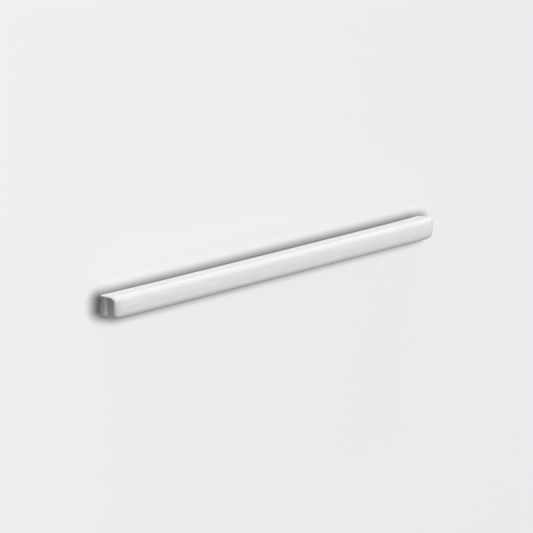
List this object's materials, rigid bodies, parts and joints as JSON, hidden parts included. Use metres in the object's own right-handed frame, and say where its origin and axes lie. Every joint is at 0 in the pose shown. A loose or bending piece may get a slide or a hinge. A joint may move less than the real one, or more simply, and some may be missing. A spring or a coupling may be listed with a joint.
{
  "type": "ceramic liner trim tile",
  "caption": "Slim glazed ceramic liner tile with a gently crowned face, rounded arrises and an unglazed back with lengthwise adhesive keys.",
  "frame": {"origin": "middle of the flat back that beds on the wall, at the plane of its lands", "axes": "+X along the length, +Y across the face towards the edge that is uppermost on a wall, +Z out of the back towards the glazed face"},
  "size_m": [0.305, 0.0132, 0.012],
  "materials": {
    "white_glaze": "white gloss glaze over a pale fired body"
  },
  "bodies": {
    "root": {"liner_tile": "white_glaze"}
  },
  "joints": []
}
